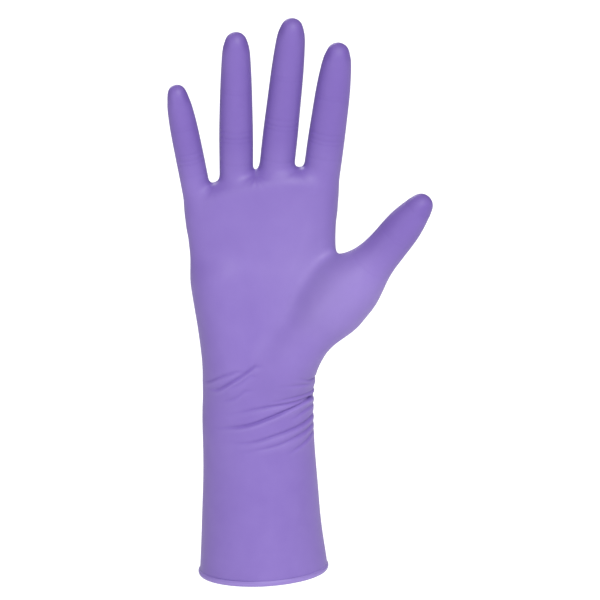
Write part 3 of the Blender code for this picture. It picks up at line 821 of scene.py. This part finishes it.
class Skin:
    """The whole film as fine arrays: points, faces, limbs, normals, and the tone of painted shade and
    light.
    """

    def __init__(self, sizes):
        fine = sizes.fineness
        net = make_net()
        points, faces = self.refine(net.points, np.vstack(net.quads), fine)
        self.limbs = np.repeat(np.concatenate(net.limbs), fine * fine)
        places = np.round(points / WELD).astype(np.int64)
        _, first, number = np.unique(places, axis=0, return_index=True, return_inverse=True)
        self.faces = number.ravel()[faces]
        self.points = onto_film(points[first])
        self.rest = self.points.copy()
        self.relieve(sizes)

    @staticmethod
    def refine(points, quads, fine):
        """Each face as a grid: P(u, v) = (1 - v)((1 - u)a + u b) + v((1 - u)d + u c)."""
        a, b, c, d = (points[quads[:, i]][:, None, None] for i in range(4))
        steps = slice(0, 1, (fine + 1) * 1j)
        v, u = (s[None, :, :, None] for s in np.mgrid[steps, steps])
        grids = (1 - v) * ((1 - u) * a + u * b) + v * ((1 - u) * d + u * c)
        numbers = np.arange(grids[..., 0].size).reshape(grids.shape[:3])
        corners = (numbers[:, :-1, :-1], numbers[:, :-1, 1:], numbers[:, 1:, 1:], numbers[:, 1:, :-1])
        return grids.reshape(-1, 3), np.stack(corners, axis=-1).reshape(-1, 4)

    def corner_normals(self):
        """Normal of each point: the sum of its faces' cross products, made unit length."""
        a, b, c, d = (self.points[self.faces[:, i]] for i in range(4))
        across = np.cross(c - a, d - b)
        total = np.zeros_like(self.points)
        for i in range(4):
            for axis in range(3):
                total[:, axis] += np.bincount(self.faces[:, i], across[:, axis], len(self.points))
        return total / np.linalg.norm(total, axis=1)[:, None]

    def relieve(self, sizes):
        """Moves the points in or out along their normals, and stores how far as the tone, which paints
        shade into valleys and light onto raised relief.
        """
        normals = self.corner_normals()
        relief = sizes.wrinkles * wrist_relief(self.points) + web_relief(self.points, sizes)
        # painted light over the middle of the palm, partly stretched film, and painted shade in the
        # webs' hollows
        broad_shade_and_light = PALM_LIGHT_AND_STRETCH * palm_light_and_stretch(self.points) + SLACK_TONE - WEB_SHADE * near_web(self.points)
        for limb, digit in LIMBS.items():
            mine = np.unique(self.faces[self.limbs == limb])
            height = digit.local(self.points[mine])[2]
            share = ramp(height, 1 * MM, 4 * MM)
            relief[mine] += share * digit_relief(digit, self.points[mine], sizes)
            # painted shade: each digit grows darker from its root over 22 mm
            broad_shade_and_light[mine] -= DIGIT_SHADE * ramp(height, 0, 22 * MM)
        # the tone is painted shade and light: relief darkens valleys and creases and lightens swells
        # and nails, plus painted light on the palm and painted shade on the digits and webs
        self.tone = relief / SHADE_DEPTH + broad_shade_and_light
        relief += slack_relief(self.points)
        self.points = self.points + relief[:, None] * normals
        self.normals = self.corner_normals()
        self.centres = self.points[self.faces].mean(axis=1)


SKIN = {}


def skin(context):
    """The fine skin, worked out once."""
    if "skin" not in SKIN:
        SKIN["skin"] = Skin(context.scene.glove_film)
    return SKIN["skin"]


# --- materials


class Nodes:
    """A material's nodes, with short ways to add and link them."""

    def __init__(self, name):
        self.material = bpy.data.materials.new(name)
        self.material.use_nodes = True
        self.tree = self.material.node_tree
        self.shader = self.tree.nodes["Principled BSDF"]

    def add(self, kind, **settings):
        node = self.tree.nodes.new(kind)
        for name, value in settings.items():
            setattr(node, name, value)
        return node

    def link(self, source, target):
        self.tree.links.new(source, target)

    def attribute(self, name):
        return self.add("ShaderNodeAttribute", attribute_name=name)

    def noise(self, place, scale, detail, roughness=0.5):
        """Noise over places in metres; scale is its cells per metre."""
        node = self.add("ShaderNodeTexNoise")
        node.inputs["Scale"].default_value = scale
        node.inputs["Detail"].default_value = detail
        node.inputs["Roughness"].default_value = roughness
        self.link(place, node.inputs["Vector"])
        return node.outputs["Fac"]

    def span(self, value, low, high, to_low, to_high):
        """Maps low..high to to_low..to_high."""
        node = self.add("ShaderNodeMapRange")
        names = ("From Min", "From Max", "To Min", "To Max")
        for name, number in zip(names, (low, high, to_low, to_high)):
            node.inputs[name].default_value = number
        self.link(value, node.inputs["Value"])
        return node.outputs["Result"]

    def maths(self, operation, a, b):
        node = self.add("ShaderNodeMath", operation=operation)
        for value, socket in zip((a, b), node.inputs):
            if isinstance(value, (int, float)):
                socket.default_value = value
            else:
                self.link(value, socket)
        return node.outputs["Value"]

    def ramp(self, value, stops):
        """Colour ramp with (place, colour) stops."""
        node = self.add("ShaderNodeValToRGB")
        elements = node.color_ramp.elements
        while len(elements) < len(stops):
            elements.new(0.5)
        for element, (place, colour) in zip(elements, stops):
            element.position, element.color = place, (*colour, 1.0)
        self.link(value, node.inputs["Fac"])
        return node.outputs["Color"]

    def bump(self, height, distance, below=None):
        node = self.add("ShaderNodeBump")
        node.inputs["Strength"].default_value = 1.0
        node.inputs["Distance"].default_value = distance
        self.link(height, node.inputs["Height"])
        if below is not None:
            self.link(below, node.inputs["Normal"])
        return node.outputs["Normal"]


def film_material(name, look, rough=0.0, lift=0.0):
    """Nitrile film whose colour ramp follows the tone: deeper where shade is painted, paler where
    light is painted or the film is stretched thin, with clouds and a fine grain.
    """
    nodes = Nodes(name)
    place = nodes.attribute("rest").outputs["Vector"]
    tone = nodes.attribute("tone").outputs["Fac"]
    clouds = nodes.noise(place, 28, 3, 0.55)
    pools = nodes.noise(place, 110, 2)
    clouds, pools = nodes.maths("MULTIPLY", clouds, 0.7), nodes.maths("MULTIPLY", pools, 0.3)
    mottle = nodes.maths("ADD", clouds, pools)
    clouded = nodes.span(mottle, 0.3, 0.7, 0.42 + lift, 0.58 + lift)
    share = nodes.maths("ADD", clouded, nodes.maths("MULTIPLY", tone, TONE_SHARE))
    # the tone's painted shade and light move the colour along the ramp
    colour = nodes.ramp(share, ((0.0, look.deep_and_shade), (0.5, look.film), (1.0, look.pale_and_lit)))
    nodes.link(colour, nodes.shader.inputs["Base Color"])
    smears = nodes.noise(place, 60, 4, 0.6)
    middle = look.roughness + rough
    roughness = nodes.span(smears, 0.3, 0.7, middle - 0.05, middle + 0.06)
    nodes.link(roughness, nodes.shader.inputs["Roughness"])
    grain = nodes.noise(place, 1400, 2)
    skin_lines = nodes.noise(place, 320, 3, 0.6)
    soft = nodes.bump(skin_lines, 2.0 * look.grain)
    nodes.link(nodes.bump(grain, look.grain, soft), nodes.shader.inputs["Normal"])
    nodes.shader.inputs["Specular IOR Level"].default_value = 0.3
    return nodes.material


def material_of(context, name, **changes):
    """A film material by name, made once."""
    return bpy.data.materials.get(name) or film_material(name, context.scene.glove_look, **changes)


def floor_material(colour):
    """Pale matt paper, a little brighter than the light on it."""
    nodes = Nodes("pale_floor")
    place = nodes.add("ShaderNodeTexCoord").outputs["Object"]
    fibres = nodes.noise(place, 40, 4)
    stops = ((0.0, tuple(0.985 * c for c in colour)), (1.0, tuple(colour)))
    nodes.link(nodes.ramp(fibres, stops), nodes.shader.inputs["Base Color"])
    nodes.shader.inputs["Roughness"].default_value = 0.9
    nodes.shader.inputs["Emission Color"].default_value = (1, 1, 1, 1)
    nodes.shader.inputs["Emission Strength"].default_value = 0.34
    return nodes.material


# --- pieces


def new_object(context, name, points, faces):
    mesh = bpy.data.meshes.new(name)
    mesh.from_pydata(points, [], faces)
    mesh.validate()
    piece = bpy.data.objects.new(name, mesh)
    context.scene.collection.objects.link(piece)
    return piece


def store(mesh, name, values):
    """Stores one number or one vector for each point of the mesh."""
    kind, key = ("FLOAT", "value") if values.ndim == 1 else ("FLOAT_VECTOR", "vector")
    attribute = mesh.attributes.new(name, kind, "POINT")
    attribute.data.foreach_set(key, values.astype(np.float32).ravel())


def film_piece(context, name, chosen):
    """A piece of the skin with its wall: outer faces, inner faces one wall inside, and the rims."""
    whole, wall = skin(context), context.scene.glove_film.wall
    numbers, faces = np.unique(whole.faces[chosen], return_inverse=True)
    faces = faces.reshape(-1, 4)
    outer, normals = whole.points[numbers], whole.normals[numbers]
    count = len(outer)
    edges = np.vstack([faces[:, [i, (i + 1) % 4]] for i in range(4)])
    _, first, times = np.unique(np.sort(edges, axis=1), axis=0, return_index=True, return_counts=True)
    rim = edges[first[times == 1]]
    rims = np.stack((rim[:, 1], rim[:, 0], rim[:, 0] + count, rim[:, 1] + count), axis=1)
    inner = faces[:, ::-1] + count
    points = np.vstack((outer, outer - wall * normals))
    everything = np.vstack((faces, inner, rims))
    piece = new_object(context, name, points, everything)
    mesh = piece.data
    mesh.materials.append(material_of(context, "film_outside"))
    mesh.materials.append(material_of(context, "film_inside", rough=0.12, lift=0.08))
    slots = np.zeros(len(everything), np.int32)
    slots[len(faces) : 2 * len(faces)] = 1
    mesh.polygons.foreach_set("material_index", slots)
    store(mesh, "rest", np.tile(whole.rest[numbers], (2, 1)))
    # painted shade and light, with the palm's stretch, for the film's colour
    store(mesh, "tone", np.tile(whole.tone[numbers], 2))
    a, b, c, d = (points[rims[:, i]] for i in range(4))
    flat = np.cross(c - a, d - b)
    flat /= np.maximum(np.linalg.norm(flat, axis=1), 1e-12)[:, None]
    corners = np.vstack((normals[faces].reshape(-1, 3), -normals[inner - count].reshape(-1, 3)))
    corners = np.vstack((corners, np.repeat(flat, 4, axis=0)))
    mesh.polygons.foreach_set("use_smooth", np.ones(len(everything), bool))
    mesh.normals_split_custom_set(corners.tolist())
    return piece


def digit_cuts(digit):
    """Heights that part a digit's films, halfway between its folds."""
    folds = list(digit.folds.values())
    if digit is THUMB:
        return [THUMB_CUT]
    return [(low + high) / 2 for low, high in zip(folds, folds[1:])]


THUMB_LINE = joint("thumb_opposition")  # the fold beside the ball of the thumb
BALL_TILT = math.radians(8)  # lean, against that fold, of the line where the ball's film begins
BALL_START = 6.5 * MM  # distance past that line, where the ball's own film begins
BALL_BEND = (7.1 * MM, 17.7 * MM)  # distances past it, handed to bend, which doesn't bend the film
THUMB_FILM_START = 10 * MM  # height above the thumb's root where the thumb's own film begins
THUMB_ROOT_BEND = (10.6 * MM, 18.5 * MM)
THUMB_CUT = 19.5 * MM  # height that parts the thumb's two films
STEP = 0.6 * MM  # clearance between a film's edge and the span worked out for a bend, which isn't made
BEND_REACH = 7 * MM  # of the span worked out for a bend to each side of its fold; no bend is made
FINGER_ROOT_REACH = 9.5 * MM


def past_thumb_line(points):
    """Distance past the leaning line beside the ball of the thumb, square to it, and that way."""
    line = -unit(THUMB_LINE["axis"])
    across = np.cross((0, 1, 0), line)
    way = math.cos(BALL_TILT) * across + math.sin(BALL_TILT) * line
    return (points - np.array(THUMB_LINE["pos_m"])) @ way, way


def zones(context):
    """Which faces of the skin belong to which film."""
    whole = skin(context)
    z = whole.centres[:, 2]
    sleeve = [corner.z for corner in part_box("wrist_folds")]
    trunk = whole.limbs == TRUNK
    thumb_height = THUMB.local(whole.centres)[2]
    root = (whole.limbs == THUMB_LIMB) & (thumb_height < THUMB_FILM_START)
    past = past_thumb_line(whole.centres)[0]
    ball = (trunk | root) & (past > BALL_START) & (z > sleeve[1])
    found = {
        "cuff": trunk & (z < sleeve[0]),
        "wrist": trunk & (z >= sleeve[0]) & (z < sleeve[1]),
        "thumb_base": ball,
        "palm": (trunk | root) & (z >= sleeve[1]) & ~ball,
    }
    for limb, digit in LIMBS.items():
        mine = (whole.limbs == limb) & ~root
        height = digit.local(whole.centres)[2]
        cuts = (-np.inf, *digit_cuts(digit), np.inf)
        for zone, low, high in zip(digit.zones, cuts, cuts[1:]):
            found[f"{digit.name}_{zone}"] = mine & (height >= low) & (height < high)
    return found


def bend(piece, low_body, high_body, origin, way, start, end):
    """Bakes a film's placement into its points and doesn't bend it; the bodies, point, way and
    distances are not used.
    """
    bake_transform(piece)


def digit_films(context, digit, palm_body):
    """The films of one digit, one for each zone; the span across the fold at each lower end is worked
    out, but no film is bent.
    """
    found, cuts = zones(context), digit_cuts(digit)
    below = palm_body
    for i, zone in enumerate(digit.zones):
        name = f"{digit.name}_{zone}"
        piece = film_piece(context, f"{name}_film", found[name])
        fold = digit.folds[zone]
        if i > 0:
            room = fold - cuts[i - 1] - STEP
            upper = cuts[i] - fold - STEP if i < len(cuts) else BEND_REACH
            start, end = fold - min(BEND_REACH, room), fold + min(BEND_REACH, upper)
        elif digit is THUMB:
            start, end = THUMB_ROOT_BEND
            end = min(end, cuts[0] - STEP)
        else:
            whole = skin(context)
            others = whole.limbs != limb_of(digit)
            shared = np.intersect1d(whole.faces[found[name]], whole.faces[others])
            start = digit.local(whole.points[shared])[2].max() + STEP / 2
            end = min(start + FINGER_ROOT_REACH, cuts[0] - STEP)
        bend(piece, below, name, digit.root, digit.axis, start, end)
        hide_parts(name)
        below = name


class GLOVE_OT_bead(bpy.types.Operator):
    """Add the rolled hem"""

    bl_idname = "glove.bead"
    bl_label = "Rolled hem"

    def execute(self, context):
        wave = context.scene.glove_film.bead_wave
        low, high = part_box("cuff_bead")
        middle, half_width, half_depth, _ = HAND.section((low.z + high.z) / 2)
        thick, tall = (high.x - low.x) / 2 - half_width, (high.z - low.z) / 2
        points, faces = self.roll(middle, half_width, half_depth, thick, tall, wave)
        piece = new_object(context, "rolled_bead", points, faces)
        mesh = piece.data
        mesh.materials.append(material_of(context, "film_bead", rough=-0.04, lift=0.2))
        mesh.polygons.foreach_set("use_smooth", np.ones(len(mesh.polygons), bool))
        store(mesh, "rest", points)
        store(mesh, "tone", np.zeros(len(points)))
        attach(piece, "cuff")
        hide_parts("cuff_bead")
        return {"FINISHED"}

    @staticmethod
    def roll(middle, half_width, half_depth, thick, tall, wave):
        """A roll round the hem: R(a, s) = oval(a) + thick cos(s) outwards + tall sin(s) upwards,
        with the groove of the roll's last turn at one angle s, and slow waves in both sizes."""
        around, across = 360, 24
        a, s = np.meshgrid(np.arange(around) / around, np.arange(across) / across, indexing="ij")
        a, s = 2 * math.pi * a, 2 * math.pi * s
        drift = wave * (np.sin(3 * a + 1) + 0.6 * np.sin(7 * a) + 0.4 * np.sin(16 * a + 2)) / 2
        groove = 1 - 0.22 * np.exp(-(((s - 0.9) / 0.22) ** 2))
        groove -= 0.12 * np.exp(-(((s - 3.6) / 0.3) ** 2))
        out = (thick + 0.4 * drift) * groove * np.cos(s)
        up = (tall + 0.3 * drift - 0.25 * wave) * groove * np.sin(s)
        nx, ny = np.cos(a) / half_width, np.sin(a) / half_depth
        size = np.hypot(nx, ny)
        x = middle + half_width * np.cos(a) + out * nx / size
        y = half_depth * np.sin(a) + out * ny / size
        z = tall + 0.1 * wave + up
        numbers = np.arange(around * across).reshape(around, across)
        after = np.roll(numbers, -1, axis=0)
        quads = (numbers, after, np.roll(after, -1, axis=1), np.roll(numbers, -1, axis=1))
        return np.stack((x, y, z), axis=-1).reshape(-1, 3), np.stack(quads, axis=-1).reshape(-1, 4)


class GLOVE_OT_sleeve(bpy.types.Operator):
    """Add the cuff and the film that crumples at the wrist"""

    bl_idname = "glove.sleeve"
    bl_label = "Cuff and wrist"

    def execute(self, context):
        found = zones(context)
        cuff = film_piece(context, "cuff_film", found["cuff"])
        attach(cuff, "cuff")
        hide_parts("cuff")
        wrist = film_piece(context, "wrist_film", found["wrist"])
        low, high = (corner.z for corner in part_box("wrist_folds"))
        bend(wrist, "cuff", "palm", np.array((HAND.wrist[0], 0, 0)), (0, 0, 1), low + MM, high - MM)
        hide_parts("wrist_folds")
        return {"FINISHED"}


class GLOVE_OT_palm(bpy.types.Operator):
    """Add the film of the palm and of the ball of the thumb"""

    bl_idname = "glove.palm"
    bl_label = "Palm"

    def execute(self, context):
        found = zones(context)
        palm = film_piece(context, "palm_film", found["palm"])
        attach(palm, "palm")
        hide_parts("palm")
        ball = film_piece(context, "thumb_base_film", found["thumb_base"])
        origin, way = np.array(THUMB_LINE["pos_m"]), past_thumb_line(np.zeros((1, 3)))[1]
        bend(ball, "palm", "thumb_base", origin, way, *BALL_BEND)
        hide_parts("thumb_base")
        return {"FINISHED"}


class GLOVE_OT_fingers(bpy.types.Operator):
    """Add the films of the four fingers"""

    bl_idname = "glove.fingers"
    bl_label = "Fingers"

    def execute(self, context):
        for digit in DIGITS:
            digit_films(context, digit, "palm")
        return {"FINISHED"}


class GLOVE_OT_thumb(bpy.types.Operator):
    """Add the films of the thumb"""

    bl_idname = "glove.thumb"
    bl_label = "Thumb"

    def execute(self, context):
        digit_films(context, THUMB, "thumb_base")
        return {"FINISHED"}


class GLOVE_OT_stage(bpy.types.Operator):
    """Add the floor, the light and the camera"""

    bl_idname = "glove.stage"
    bl_label = "Stage"

    def execute(self, context):
        stage = context.scene.glove_stage
        corners = np.array(((-1, -1), (1, -1), (1, 1), (-1, 1)))
        points = np.column_stack((FLOOR_REACH * corners, np.full(4, -stage.drop)))
        floor = new_object(context, "floor", points, np.arange(4)[None])
        floor.data.materials.append(floor_material(stage.floor))
        self.light(context, stage)
        self.camera(context, stage)
        return {"FINISHED"}

    @staticmethod
    def light(context, stage):
        world = bpy.data.worlds.new("soft_white")
        world.use_nodes = True
        world.node_tree.nodes["Background"].inputs["Color"].default_value = (1, 1, 1, 1)
        world.node_tree.nodes["Background"].inputs["Strength"].default_value = stage.fill
        context.scene.world = world
        context.scene.view_settings.view_transform = "Standard"
        for name, share, turns in LIGHTS:
            lamp = bpy.data.lights.new(name, "SUN")
            lamp.energy, lamp.angle = share * stage.key, SOFTNESS
            holder = bpy.data.objects.new(name, lamp)
            holder.rotation_euler = [math.radians(turn) for turn in turns]
            context.scene.collection.objects.link(holder)

    @staticmethod
    def camera(context, stage):
        """Aims at the middle of the picture from the front, a little above, with the lean as roll."""
        low, high = CAD_BOX
        aim = np.array(((low[0] + high[0]) / 2, 0, (low[2] + high[2]) / 2)) + stage.aim
        ahead = np.array((0, math.cos(stage.elevation), -math.sin(stage.elevation)))
        right, up = np.array((1.0, 0, 0)), np.cross((1, 0, 0), ahead)
        cos, sin = math.cos(stage.roll), math.sin(stage.roll)
        right, up = cos * right - sin * up, sin * right + cos * up
        turn = Matrix(np.transpose((right, up, -ahead)).tolist())
        data = bpy.data.cameras.new("camera")
        data.lens, data.sensor_width = stage.lens, 36
        camera = bpy.data.objects.new("camera", data)
        camera.matrix_world = Matrix.Translation(aim - stage.distance * ahead) @ turn.to_4x4()
        context.scene.collection.objects.link(camera)
        context.scene.camera = camera


BUILD_ORDER = (
    GLOVE_OT_bead,
    GLOVE_OT_sleeve,
    GLOVE_OT_palm,
    GLOVE_OT_fingers,
    GLOVE_OT_thumb,
    GLOVE_OT_stage,
)


class GLOVE_PT_panel(bpy.types.Panel):
    """Buttons for the glove's pieces, and its sizes and colours"""

    bl_label = "Long-cuff glove"
    bl_idname = "GLOVE_PT_panel"
    bl_space_type = "VIEW_3D"
    bl_region_type = "UI"
    bl_category = "Glove"

    def draw(self, context):
        for operator in BUILD_ORDER:
            self.layout.operator(operator.bl_idname)
        for group in (context.scene.glove_film, context.scene.glove_look, context.scene.glove_stage):
            box = self.layout.box()
            for name in group.bl_rna.properties.keys():
                if name not in ("rna_type", "name"):
                    box.prop(group, name)


GROUPS = {"glove_film": GloveFilm, "glove_look": GloveLook, "glove_stage": GloveStage}


def register():
    for item in (*GROUPS.values(), *BUILD_ORDER, GLOVE_PT_panel):
        bpy.utils.register_class(item)
    for name, group in GROUPS.items():
        setattr(bpy.types.Scene, name, bpy.props.PointerProperty(type=group))


def unregister():
    for name in GROUPS:
        delattr(bpy.types.Scene, name)
    for item in (GLOVE_PT_panel, *reversed(BUILD_ORDER), *GROUPS.values()):
        bpy.utils.unregister_class(item)


def main():
    register()
    for operator in BUILD_ORDER:
        group, name = operator.bl_idname.split(".")
        getattr(getattr(bpy.ops, group), name)()


if __name__ == "__main__":
    main()
